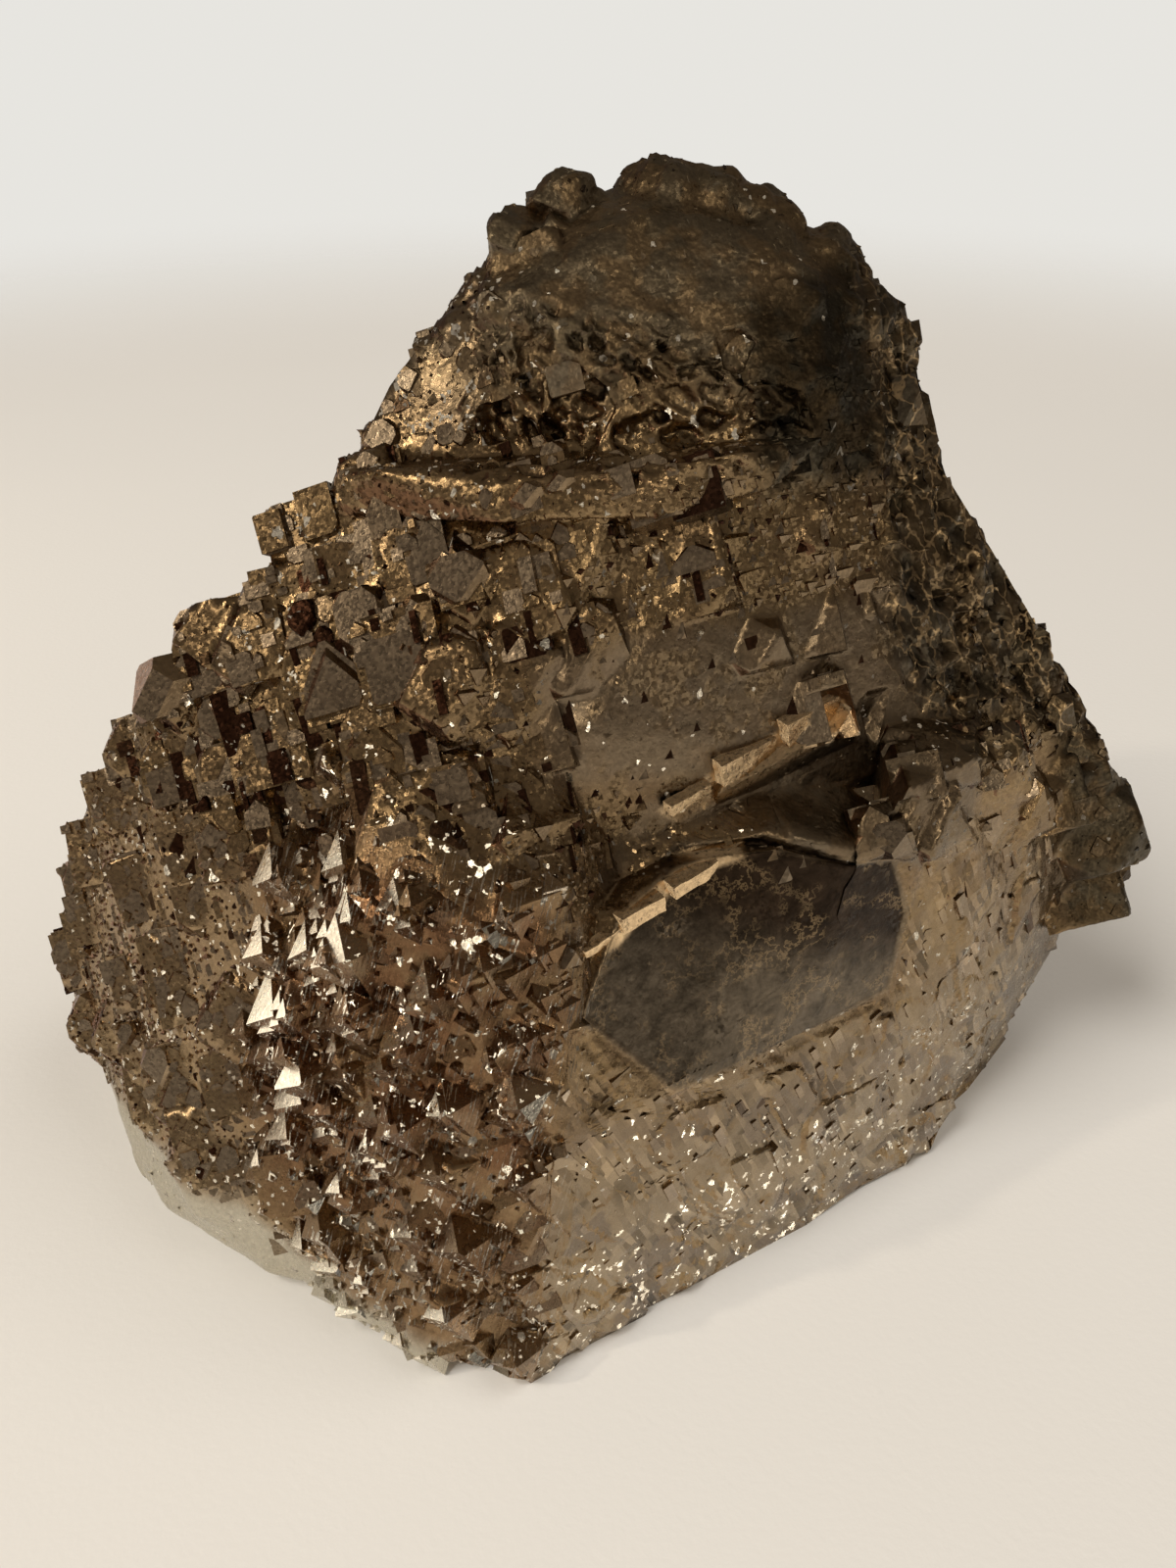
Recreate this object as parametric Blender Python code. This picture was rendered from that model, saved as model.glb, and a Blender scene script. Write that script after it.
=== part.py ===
"""Pyrite specimen: one hand-sized aggregate of octahedral pyrite crystals grown in parallel.

The specimen is one closed solid. Convex masses give its body, and cube and octahedron faced
crystals, all in one lattice orientation, are fused over them. It stands on a flat broken base at z = 0.
Metres, +Z up, +X to the right of the front, and the front looks towards -Y.
"""

import math
import random

import bmesh
import bpy
from mathutils import Euler, Matrix, Vector, noise

MM = 0.001

# The slab that is cut away below the flat patch the specimen rests on.
SLAB_WIDTH = 400 * MM
SLAB_DEPTH = 40 * MM

# The crystal lattice: the way the octahedral wall at the lower right faces, and the turn about it.
WALL_AZIMUTH = math.radians(33.0)
WALL_TWIST = math.radians(11.6)
MOSAIC_TILT = math.radians(2.5)

# Corner points of the convex masses, in millimetres.
MASSES = {
    "peak": (
        (-4, 12, 125), (9, 13, 127), (18, 12, 126), (27, 11, 121), (33, 9, 116), (-10, 8, 121),
        (-16, 4, 115), (-22.5, 2, 107), (-28, 0, 97), (37, 9, 113), (40, 8, 105), (45, 6, 90),
        (-7, 0, 118), (5, 4, 125), (17, 5, 124), (25, 2, 119), (25, -4, 109), (5, -4, 112),
        (25, -5, 98), (2, -8, 98), (-18, -6, 96), (-16, -1, 108), (2, 18, 121), (20, 20, 113),
        (-14, 16, 106), (36, 20, 90), (-24, 16, 86), (10, 22, 88),
    ),
    "band": (
        (-29, -5, 99), (-24, -9, 101), (-8, -15, 102), (8, -17, 104), (20, -13, 105), (26, -7, 104),
        (-26, -7, 95), (-8, -17, 98), (8, -18, 99), (20, -13, 100), (-20, 6, 98), (20, 6, 98),
    ),
    "waist": (
        (-27, -4, 98), (-36, -6, 88), (-46.5, -6, 79), (-55.5, -6, 68.5), (-62.5, -4, 56.5), (2, -12, 100),
        (20, -8, 99), (-14, -17, 90), (-31, -15, 80), (-14, -24, 78), (0, -23, 76), (4, -14, 84),
        (-46, -18, 54), (0, -26, 58), (12, -21, 60), (16, -17, 66), (31, -10, 71), (44, -7, 65),
        (43, -4, 74), (23, -6, 87), (41, 6, 98), (47, 6, 89), (53, 6, 79), (62, 6, 69),
        (69, 6, 59), (73, 7, 50), (-22, 16, 92), (10, 20, 88), (38, 18, 82), (-44, 18, 62),
        (58, 22, 56), (4, 24, 58), (30, 24, 40), (-40, 20, 36), (0, -10, 30),
    ),
    "left_shoulder": (
        (-63.5, -4, 57), (-71, 0, 43), (-74, 0, 29), (-73, -4, 22), (-67, -12, 13), (-47, -20, 52),
        (-54, -22, 30), (-50, -32, 14), (-63, -19, 7), (-56, -27, 4), (-62, 16, 34), (-54, 18, 12),
        (-30, -28, 62), (-45, -34, 3), (-40, 20, 0), (-20, 30, 50), (-38, -34, 20), (-38, -37, 0),
        (-45.5, -32, 0), (-53, -27, 0), (-62, -17, 0), (-66, -10, 5),
    ),
    "nose": (
        (-27, -36, 60), (-14, -39, 62), (-4, -38, 60), (-36, -31, 48), (-39, -34, 22), (-15, -45, 38),
        (-1, -45, 38), (-26, -44, 12), (-39, -36, 4), (-18, -49.5, 4), (-3, -47.5, 3), (-22, -20, 76),
        (-4, -24, 74), (0, -10, 20), (-30, -10, 30), (-24, -46, 0), (-18, -47.5, 0), (-12, -47.5, 0),
        (-3, -45, 0), (-31, -42.5, 0), (8, -20, 58), (8, -28, 30), (8, -20, 8),
    ),
    "bevelled_block": (
        (-5, -47, 1), (12, -37, 0), (30, -26, 0), (38, -20, 1), (-4, -47, 37), (12, -36.5, 38),
        (38, -20, 36), (0, -38, 50), (4, -31.5, 58), (11, -25.5, 60.5), (19.5, -20, 61.5),
        (31, -14.5, 57), (37.5, -13.5, 50), (-8, -30, 56), (0, 20, 2), (36, 20, 20), (0, 0, 56),
    ),
    "wall_block": (
        (34, -22.5, 1), (46, -15, 0), (56, -2, 1), (67, 11, 5), (73, 15, 17), (34, -22.5, 61),
        (37, -20, 67), (46, -14.5, 68), (59, -4, 56), (71, 7, 46), (36, -6, 70), (48, -4, 68),
        (30, 20, 4), (60, 26, 14), (40, 22, 40), (56, 20, 56),
    ),
    "right_tip": (
        (70, 3, 56), (75, 6, 50), (79, 9, 41), (80, 12, 30), (76, 15, 23), (71, 16, 19),
        (60, -2, 55), (66, 3, 34), (68, 22, 40), (62, 24, 20), (56, 22, 50), (50, 10, 60), (50, 10, 30),
    ),
    "foot": (
        (-62, -14, -2), (-45, -31.5, -2), (-24, -45.5, -2), (-8, -46.5, -2), (2, -42.5, -2), (38, -19, -2),
        (58, -1, -2), (68, 12, -2), (54, 34, -2), (0, 42, -2), (-54, 26, -2), (-52, -20, 14),
        (-20, -38, 14), (0, -38, 14), (36, -15, 14), (58, 6, 14), (40, 28, 14), (-44, 20, 14),
    ),
    "low_ledge": (
        (2, -24, 61.5), (21, -16.5, 64), (21, -11, 66), (2, -20, 66), (0, -30, 56), (20, -10, 50),
        (-6, -14, 54), (-4, -28, 60),
    ),
    "high_ledge": (
        (15, -20, 66), (31, -13.5, 72.5), (33, -9, 72), (17, -15, 68), (15, -16, 58), (33, -8, 60),
    ),
}

CUBE_AXES = [Vector(axis) for axis in ((1, 0, 0), (0, 1, 0), (0, 0, 1), (-1, 0, 0), (0, -1, 0), (0, 0, -1))]
OCTAHEDRAL_AXES = [Vector((x, y, z)).normalized() for x in (-1, 1) for y in (-1, 1) for z in (-1, 1)]
WALL_CORNER = Vector((1, 1, 1)).normalized()
# Crystal habits, as how far the faces stand from the centre on a crystal of half-size 1: the cube faces,
# the octahedral faces, the pair of octahedral faces that lies along the wall, and how much each of these
# distances varies from face to face.
HABITS = {
    "block": (1.0, 2.0, 2.0, 0.22),
    "cut_block": (1.0, 1.28, 1.10, 0.20),
    "tip": (1.35, 0.80, 0.80, 0.10),
    "plate": (1.0, 0.95, 0.34, 0.42),
    "knob": (1.0, 1.02, 1.02, 0.12),
}
# What grows where: habits, crystal half-size in mm (least, most), spacing in mm, and how far the crystals
# stand proud of the body in mm (least, most).
ZONES = {
    "crown": (("knob",), (4.0, 6.0), 7.5, (0.7, 1.8)),
    "crown_face": (("plate",), (5.0, 7.0), 18.0, (0.2, 0.6)),
    "steps": (("block", "block", "cut_block"), (4.0, 7.0), 6.6, (1.6, 3.4)),
    "slope": (("block", "cut_block"), (3.4, 5.6), 7.0, (1.2, 2.6)),
    "peak_side": (("cut_block",), (3.6, 6.0), 7.5, (0.5, 1.5)),
    "right_slope": (("block", "cut_block"), (3.2, 5.6), 7.6, (0.8, 2.2)),
    "wall": (("plate",), (6.0, 11.0), 13.0, (0.3, 1.3)),
    "nose": (("tip",), (5.0, 9.0), 7.0, (1.8, 4.2)),
    "flank": (("block", "cut_block"), (4.0, 7.0), 8.2, (1.4, 3.2)),
    "side": (("block", "cut_block"), (4.5, 7.0), 11.0, (0.8, 2.6)),
    "back": (("block", "cut_block"), (6.0, 11.0), 14.0, (1.0, 3.5)),
}
# Where each zone lies: the first row that a point of the surface fits gives its zone, or None where nothing
# grows. The ranges are those of the point in mm, of its outward normal, and of the cosine between that
# normal and the wall's.
ANY = (-1000, 1000)
ZONE_LIMITS = (
    # zone          x            y            z            normal x     normal y      normal z      wall
    (None,          ANY,         ANY,         (-1000, 2),  ANY,         ANY,          ANY,          ANY),
    (None,          ANY,         ANY,         ANY,         ANY,         ANY,          (-2, -0.55),  ANY),
    ("back",        (-58, 58),   ANY,         (2, 100),    ANY,         (0.55, 2),    ANY,          ANY),
    ("side",        ANY,         (4, 1000),   ANY,         ANY,         (0.20, 2),    ANY,          ANY),
    ("crown",       ANY,         ANY,         (112, 1000), (-0.9, 2),   (-0.4, 2),    ANY,          ANY),
    (None,          (-27, 26),   (-1000, -3), (93, 105),   ANY,         ANY,          ANY,          ANY),
    ("crown_face",  (-14, 1000), ANY,         (105, 1000), (-2, 0.5),   ANY,          ANY,          ANY),
    ("right_slope", (30, 1000),  ANY,         (48, 1000),  (0.45, 2),   ANY,          ANY,          ANY),
    (None,          (-4, 50),    ANY,         (60, 79),    ANY,         ANY,          ANY,          ANY),
    (None,          (0, 50),     ANY,         (50, 62),    ANY,         ANY,          ANY,          ANY),
    (None,          (0, 36),     ANY,         (36, 50),    ANY,         ANY,          ANY,          ANY),
    ("wall",        (-4, 1000),  ANY,         (2, 62),     ANY,         ANY,          ANY,          (0.8, 2)),
    ("nose",        (-38, 4),    ANY,         (2, 70),     (-2, 0.3),   (-2, -0.3),   ANY,          ANY),
    (None,          (-8, 56),    ANY,         (2, 62),     ANY,         ANY,          ANY,          ANY),
    ("flank",       (-1000, -40), ANY,        (2, 56),     ANY,         ANY,          ANY,          ANY),
    ("peak_side",   ANY,         ANY,         (103, 1000), ANY,         ANY,          ANY,          ANY),
    ("slope",       ANY,         ANY,         ANY,         (-2, -0.6),  ANY,          ANY,          ANY),
    ("slope",       ANY,         ANY,         (84, 1000),  (-2, -0.3),  ANY,          ANY,          ANY),
    ("steps",       ANY,         ANY,         ANY,         ANY,         ANY,          ANY,          ANY),
)
# Where pits are sunk: ranges as above.
PIT_LIMITS = (
    ((-12, 26),     ANY,         (104, 113),  ANY,         (-2, -0.4),  ANY,          ANY),
    ((26, 1000),    ANY,         (62, 104),   (0.3, 2),    (-2, 0),     ANY,          ANY),
)
# The large crystals that make up the back: centre and half-size in mm.
BACK_BLOCKS = (
    ((-42, 15, 24), 19.0), ((-12, 19, 24), 23.0), ((24, 20, 22), 22.0), ((54, 20, 30), 14.0),
    ((-28, 15, 54), 16.0), ((6, 18, 54), 20.0), ((38, 17, 56), 15.0), ((-10, 12, 84), 14.0),
    ((16, 14, 84), 16.0), ((8, 13, 106), 11.0), ((23, 14, 102), 9.5), ((-60, 8, 26), 11.0),
    ((46, 18, 8), 13.0), ((-48, 8, 8), 13.0),
)
# Single crystals at the summit, on either side of its notch: centre and half-size in mm.
SUMMIT_KNOBS = (
    ((-2.5, 12.5, 125.0), 4.0), ((-8.0, 9.0, 121.0), 3.7), ((8.0, 12.5, 125.0), 5.0),
    ((14.0, 12.0, 124.0), 5.0), ((20.0, 11.5, 121.5), 5.0), ((27.0, 11.0, 117.5), 4.6),
    ((33.0, 10.0, 111.5), 4.6),
)
GROWTH_DARTS = 12000
HILLOCK_PITCH = 18 * MM
PIT_DARTS = 6000
PIT_HALF_SIZE = (2.0 * MM, 3.6 * MM)
PIT_SPACING = 7.0 * MM
PIT_DEPTH = (0.5 * MM, 1.6 * MM)
PYRITE_COLOUR = (0.56, 0.47, 0.32, 1)
PYRITE_METALLIC = 0.9
PYRITE_ROUGHNESS = 0.3


def lattice_frame():
    """Rotation that turns the (1, 1, 1) face of a crystal to the wall's direction."""
    outward = wall_direction()
    upright = WALL_CORNER.rotation_difference(outward).to_matrix()
    return Matrix.Rotation(WALL_TWIST, 3, outward) @ upright


def wall_direction():
    return Vector((math.sin(WALL_AZIMUTH), -math.cos(WALL_AZIMUTH), 0))


def link(name, bm, collection):
    mesh = bpy.data.meshes.new(name)
    bm.to_mesh(mesh)
    bm.free()
    piece = bpy.data.objects.new(name, mesh)
    collection.objects.link(piece)
    return piece


def hull_mass(bm, corners):
    """Adds the convex mass through these corner points."""
    added = [bm.verts.new(Vector(corner) * MM) for corner in corners]
    bmesh.ops.convex_hull(bm, input=added)
    inside = [v for v in added if not v.link_faces]
    bmesh.ops.delete(bm, geom=inside, context="VERTS")


def habit_shape(habit, rng):
    """A crystal of half-size 1, bounded by cube and octahedral faces at this habit's distances."""
    cube, octahedral, along_wall, uneven = HABITS[habit]
    shape = bmesh.new()
    bmesh.ops.create_cube(shape, size=6)
    for outward in CUBE_AXES + OCTAHEDRAL_AXES:
        distance = cube
        if outward in OCTAHEDRAL_AXES:
            distance = along_wall if abs(outward.dot(WALL_CORNER)) > 0.99 else octahedral
        distance *= 1 + rng.uniform(-uneven, uneven)
        everything = shape.verts[:] + shape.edges[:] + shape.faces[:]
        bmesh.ops.bisect_plane(
            shape, geom=everything, plane_co=outward * distance, plane_no=outward, clear_outer=True
        )
        bmesh.ops.holes_fill(shape, edges=[e for e in shape.edges if e.is_boundary])
    bmesh.ops.dissolve_degenerate(shape, dist=1e-3, edges=shape.edges)
    bmesh.ops.recalc_face_normals(shape, faces=shape.faces)
    return shape


def crystal_in_lattice(habit, half, frame, rng):
    """A crystal of this half-size, turned to the lattice with a slight random tilt."""
    shape = habit_shape(habit, rng)
    tilt = Euler([rng.gauss(0, MOSAIC_TILT) for _ in range(3)]).to_matrix()
    bmesh.ops.transform(shape, matrix=(frame @ tilt).to_4x4() @ Matrix.Scale(half, 4), verts=shape.verts)
    return shape


def add_shape(bm, shape, offset):
    """Moves a crystal to its place and adds it to the mesh being grown."""
    bmesh.ops.translate(shape, vec=offset, verts=shape.verts)
    mesh = bpy.data.meshes.new("crystal")
    shape.to_mesh(mesh)
    shape.free()
    bm.from_mesh(mesh)
    bpy.data.meshes.remove(mesh)


def seat_crystal(bm, habit, centre, half, frame, rng):
    """Adds one crystal about a centre. Centre and half-size in mm."""
    add_shape(bm, crystal_in_lattice(habit, half * MM, frame, rng), Vector(centre) * MM)


def add_crystal(bm, habit, half, point, normal, height, frame, rng):
    """Adds one crystal that stands this far proud of the surface at a point."""
    shape = crystal_in_lattice(habit, half, frame, rng)
    reach = max(normal.dot(v.co) for v in shape.verts)
    add_shape(bm, shape, point - normal * (reach - height))


def within(limits, point, normal):
    """Whether a point of the surface, in mm, and its normal lie in a row's ranges."""
    values = (*point, *normal, normal.dot(wall_direction()))
    return all(low < value < high for (low, high), value in zip(limits, values))


def zone_at(point, normal):
    """The zone that a point of the body's surface belongs to, or None where nothing grows. In mm."""
    return next(zone for zone, *limits in ZONE_LIMITS if within(limits, point, normal))


def surface_darts(piece, tries, rng):
    """Random points and outward normals on a mesh, spread evenly by area."""
    faces = list(piece.data.polygons)
    corners = [v.co for v in piece.data.vertices]
    picks = rng.choices(faces, weights=[f.area for f in faces], k=tries)
    for face in picks:
        weights = [-math.log(1 - rng.random()) for _ in face.vertices]
        total = sum(weights)
        point = sum((corners[i] * w for i, w in zip(face.vertices, weights)), Vector()) / total
        yield point, face.normal.copy()


def sink_pits(bm, body, frame):
    """Adds the negative crystals that leave angular pits below the crown and on the right slope."""
    rng = random.Random(3)
    taken = []
    for point, normal in surface_darts(body, PIT_DARTS, rng):
        pitted = any(within(limits, point / MM, normal) for limits in PIT_LIMITS)
        if not pitted or any((point - other).length < PIT_SPACING for other in taken):
            continue
        taken.append(point)
        half = rng.uniform(*PIT_HALF_SIZE)
        # A negative crystal hangs over the surface, and only its inner end reaches below it.
        add_crystal(bm, "cut_block", half, point, -normal, rng.uniform(*PIT_DEPTH), frame, rng)


def grow_crystals(bm, body, frame):
    """Adds a crystal at every dart that keeps its zone's spacing, all turned to the one lattice."""
    taken = []
    for number, (point, normal) in enumerate(surface_darts(body, GROWTH_DARTS, random.Random(7))):
        zone = zone_at(point / MM, normal)
        if zone is None:
            continue
        habits, sizes, spacing, proud = ZONES[zone]
        if any((point - other).length < spacing * MM for other in taken):
            continue
        taken.append(point)
        rng = random.Random(number)
        half = (sizes[0] + (sizes[1] - sizes[0]) * rng.random() ** 2) * MM
        swell = 0.5 + 0.5 * noise.noise(point / HILLOCK_PITCH)
        height = (proud[0] + (proud[1] - proud[0]) * (0.5 * swell + 0.5 * rng.random())) * MM
        add_crystal(bm, rng.choice(habits), half, point, normal, height, frame, rng)
    for number, (centre, half) in enumerate(SUMMIT_KNOBS):
        seat_crystal(bm, "knob", centre, half, frame, random.Random(number))


def fuse(name, base, additions, operation, collection):
    """The base with a Boolean of the additions baked into a new object."""
    joiner = base.modifiers.new("join", "BOOLEAN")
    joiner.operation = operation
    joiner.object = additions
    joiner.solver = "EXACT"
    joiner.use_self = True
    graph = bpy.context.evaluated_depsgraph_get()
    mesh = bpy.data.meshes.new_from_object(base.evaluated_get(graph))
    result = bpy.data.objects.new(name, mesh)
    collection.objects.link(result)
    for used in (base, additions):
        bpy.data.objects.remove(used)
    return result


def ground_slab(collection):
    """The cutter that leaves the flat resting face at z = 0."""
    bm = bmesh.new()
    drop = Matrix.Translation((0, 0, -SLAB_DEPTH / 2))
    shape = Matrix.Diagonal((SLAB_WIDTH, SLAB_WIDTH, SLAB_DEPTH, 1))
    bmesh.ops.create_cube(bm, size=1, matrix=drop @ shape)
    return link("ground_slab", bm, collection)


def body_of_masses(collection, frame):
    """The convex masses and the large back crystals joined into one closed body."""
    rng = random.Random(11)
    (first, corners), *others = MASSES.items()
    base = bmesh.new()
    hull_mass(base, corners)
    rest = bmesh.new()
    for _, corners in others:
        hull_mass(rest, corners)
    for centre, half in BACK_BLOCKS:
        seat_crystal(rest, "cut_block", centre, half, frame, rng)
    base_object = link(first, base, collection)
    rest_object = link("other_masses", rest, collection)
    return fuse("body", base_object, rest_object, "UNION", collection)


def keep_outer_shell(piece):
    """Removes the closed voids that the joined masses leave inside, which are the smaller shells."""
    bm = bmesh.new()
    bm.from_mesh(piece.data)
    shells = []
    unseen = set(bm.faces)
    while unseen:
        shell = set()
        reached = [unseen.pop()]
        while reached:
            face = reached.pop()
            shell.add(face)
            beside = {other for edge in face.edges for other in edge.link_faces} & unseen
            unseen -= beside
            reached.extend(beside)
        shells.append(shell)
    outer = max(shells, key=len)
    inner = [face for face in bm.faces if face not in outer]
    bmesh.ops.delete(bm, geom=inner, context="FACES")
    bm.to_mesh(piece.data)
    bm.free()


def centre_over_origin(piece):
    """Moves the mesh sideways until its bounding box is centred on the Z axis."""
    corners = [v.co for v in piece.data.vertices]
    middle = [(min(c[i] for c in corners) + max(c[i] for c in corners)) / 2 for i in (0, 1)]
    piece.data.transform(Matrix.Translation((-middle[0], -middle[1], 0)))


def pyrite_material():
    """Tarnished pyrite metal."""
    pyrite = bpy.data.materials.new("pyrite")
    pyrite.use_nodes = True
    shader = pyrite.node_tree.nodes["Principled BSDF"]
    shader.inputs["Base Color"].default_value = PYRITE_COLOUR
    shader.inputs["Metallic"].default_value = PYRITE_METALLIC
    shader.inputs["Roughness"].default_value = PYRITE_ROUGHNESS
    return pyrite


for old in list(bpy.data.objects):
    bpy.data.objects.remove(old)
specimen = bpy.data.collections.new("pyrite_specimen")
bpy.context.scene.collection.children.link(specimen)
body = body_of_masses(specimen, lattice_frame())
keep_outer_shell(body)
bpy.context.view_layer.update()
growth = bmesh.new()
grow_crystals(growth, body, lattice_frame())
crystals = link("crystals", growth, specimen)
negatives = bmesh.new()
sink_pits(negatives, body, lattice_frame())
pits = link("pits", negatives, specimen)
cluster = fuse("cluster", body, crystals, "UNION", specimen)
cluster = fuse("cluster_pitted", cluster, pits, "DIFFERENCE", specimen)
cluster = fuse("pyrite_crystal_cluster", cluster, ground_slab(specimen), "DIFFERENCE", specimen)
keep_outer_shell(cluster)
centre_over_origin(cluster)
cluster.data.materials.clear()
cluster.data.materials.append(pyrite_material())
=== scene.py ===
"""Looks of a pyrite specimen around its packed CAD frame, laid out as a Blender add-on."""

import functools
import itertools
import math

import bmesh
import bpy
import numpy as np
from bpy.props import FloatProperty, FloatVectorProperty, PointerProperty
from bpy.types import Operator, Panel, PropertyGroup
from mathutils import Matrix, Vector, noise
from mathutils.bvhtree import BVHTree


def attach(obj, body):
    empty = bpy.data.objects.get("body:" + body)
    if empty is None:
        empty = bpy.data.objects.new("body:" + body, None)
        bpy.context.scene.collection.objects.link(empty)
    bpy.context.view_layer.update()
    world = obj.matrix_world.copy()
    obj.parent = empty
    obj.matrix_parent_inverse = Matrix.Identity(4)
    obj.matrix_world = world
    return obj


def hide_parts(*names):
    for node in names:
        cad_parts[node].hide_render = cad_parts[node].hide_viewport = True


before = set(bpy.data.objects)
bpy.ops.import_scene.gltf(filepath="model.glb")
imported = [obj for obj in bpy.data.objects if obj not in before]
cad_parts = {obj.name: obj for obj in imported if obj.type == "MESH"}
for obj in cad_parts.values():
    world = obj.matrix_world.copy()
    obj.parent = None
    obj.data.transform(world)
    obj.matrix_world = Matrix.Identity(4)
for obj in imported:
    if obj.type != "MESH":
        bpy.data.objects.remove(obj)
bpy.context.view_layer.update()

bl_info = {
    "name": "Pyrite Specimen",
    "version": (1, 0, 0),
    "blender": (4, 5, 0),
    "location": "View3D > Sidebar > Pyrite",
    "description": "Dresses a cluster of octahedral pyrite with crystals, tarnish and a plain stage",
    "category": "Object",
}

MM = 0.001
NODE = "pyrite_crystal_cluster"
BODY = "root"

# The lattice that every crystal shares: the (1, 1, 1) face looks along the wall, turned about it.
WALL_AZIMUTH = math.radians(33.0)
WALL_TWIST = math.radians(11.6)
WALL_FACING = Vector((math.sin(WALL_AZIMUTH), -math.cos(WALL_AZIMUTH), 0))
# How far the wall stands out along the way it faces, in mm.
WALL_PLANE = 35.1
WALL_CORNER = Vector((1, 1, 1)).normalized()
CORNER_TO_WALL = WALL_CORNER.rotation_difference(WALL_FACING).to_matrix()
LATTICE = Matrix.Rotation(WALL_TWIST, 3, WALL_FACING) @ CORNER_TO_WALL
CUBE_FACES = ((1, 0, 0), (0, 1, 0), (0, 0, 1), (-1, 0, 0), (0, -1, 0), (0, 0, -1))
CORNER_FACES = tuple(itertools.product((-1, 1), repeat=3))
FRONT = Vector((0, -0.848, 0.53))
# How the nose's tip faces painted near white and the painted glints on the left and on the wall turn to
# mirror the low card and the lamps.
TIP_FACING = (-0.636, -0.134, 0.76)
GLINT_FACING = (-0.418, -0.588, 0.692)
WALL_GLINT_FACING = (0.03, -0.77, 0.64)

# Crystal habits: how far the faces of a crystal of half-size 1 stand from its centre. These are the cube
# faces at the sides, the cube faces along the third axis, the octahedral faces and the two of those that
# lie along the wall, and then how uneven they all are. A face that stands past the crystal isn't there.
HABITS = {
    "block": (1, 1, 2, 2, 0.25),
    "cut_block": (1, 1, 1.3, 1.12, 0.22),
    "slab": (1, 0.22, 1.5, 1.5, 0.4),
    "tip": (2.2, 2.2, 0.8, 0.8, 0.12),
    "plate": (1.1, 1.1, 0.95, 0.26, 0.45),
    "scale": (1, 0.5, 1.45, 1.45, 0.25),
    "riser": (1, 0.5, 1.4, 1.4, 0.15),
}
# Faces that one habit cuts deeper than the rest of their kind.
CUTS = {
    "scale": {(-1, -1, 1): 0.62, (-1, 1, 1): 0.85},
    "riser": {(1, 0, 0): 1.3, (-1, 0, 0): 1.3, (0, 1, 0): 0.36, (0, -1, 0): 0.36},
}
# The faces of the bars that lie on the wall, along one of its lattice edges.
BAR_FACES = {
    (-1, 0, 1): 1, (1, 0, -1): 1, (-1, 2, -1): 0.3, (1, -2, 1): 0.3, (1, 1, 1): 0.3, (-1, -1, -1): 0.3,
}
BAR_UNEVEN = 0.25
SHAPES_PER_HABIT = 12

# Outlines of the specimen's regions in front elevation, as x and z in mm.
OUTLINES = {
    "crown_plane": ((-15, 125), (-9, 127), (8, 126), (27, 119), (24, 107), (8, 113), (-13, 117)),
    "pits": ((-16, 118), (-2, 117), (10, 114), (22, 109), (24, 103), (-16, 101)),
    "dark_column": ((15, 117), (30, 121), (36, 96), (16, 98)),
    "band": ((-31, 103), (-14, 103), (22, 104), (25, 95), (-29, 95)),
    "octagon": (
        (-3, 49), (1, 57), (8, 61), (18, 62), (28, 59), (34, 57), (37, 48), (36, 36), (21, 35), (8, 37)),
    "upper_strip": ((4, 65), (16, 71), (28, 75), (31, 71), (17, 65), (8, 62)),
    "lower_strip": (
        (-2, 54), (2, 59), (8, 61), (14, 62), (17, 62), (16, 60), (11, 58.5), (5, 56.3), (1, 53.5)),
    "block_front": ((14, 64), (28, 71), (34, 68), (36, 66), (29, 59), (20, 60), (17, 62.5)),
    "terrace": ((-9, 86), (41, 86), (44, 74), (38, 65), (16, 66), (-8, 70)),
    "right_slope": (
        (27, 121), (32, 96), (33, 76), (40, 68), (57, 62), (66, 57), (95, 57), (95, 135), (30, 135)),
    "wall": ((-4, 50), (8, 37), (36, 36), (38, 66), (62, 60), (95, 45), (95, -5), (-9, -5), (-9, 40)),
    "nose": ((-41, 59), (-30, 68), (-6, 64), (-3, 50), (-6, 42), (-8, -5), (-36, -5), (-46, 30)),
    "polished_foot": ((-75, 14), (-46, 14), (-38, 9), (-20, 6), (-18, -5), (-80, -5)),
    "flank": ((-90, 62), (-41, 60), (-46, 30), (-38, -5), (-90, -5)),
    "tip": ((58, 62), (90, 62), (90, 25), (66, 30)),
    "crown": ((-95, 112), (95, 112), (95, 140), (-95, 140)),
    "crown_side": ((-32, 103), (-14, 103), (-13, 118), (-17, 124), (-26, 118)),
    "wall_foot": ((-9, 16), (20, 18), (50, 30), (60, -5), (-9, -5)),
    "shelf": (
        (-6, 56), (4, 66), (16, 72), (38, 73), (46, 67), (45, 58), (37, 55), (28, 60), (20, 63), (8, 62)),
}
# How far back the polished foot reaches round the left side, as y in mm.
FOOT_REACH = 8
# Each region's share of sugary grains and of painted white glints, and how far it is dimmed. "steps" is the
# rest of the front, and where regions overlap, the later one counts.
REGION_LOOKS = {
    "steps": (0.8, 0.3, 0.26),
    "crown": (0.8, 0.02, 0.2),
    "crown_plane": (0.85, 0.02, 0.12),
    "pits": (0.6, 0.25, 0),
    "dark_column": (0.9, 0, 0.7),
    "crown_side": (0.2, 1, 0.24),
    "band": (1, 0.25, 0.22),
    "terrace": (0.25, 0.05, 0.22),
    "right_slope": (0.6, 0.12, 0.48),
    "wall": (0.05, 0.15, 0.14),
    "wall_foot": (0.35, 0.8, 0.05),
    "tip": (0, 0.05, 0.42),
    "nose": (0.3, 0.45, 0.05),
    "flank": (0.3, 0.35, 0.02),
    "polished_foot": (0.05, 0.1, 0),
    "shelf": (0.15, 0.1, 0.42),
    "block_front": (0.05, 0, 0.3),
    "octagon": (0, 0, 0),
}

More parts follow.
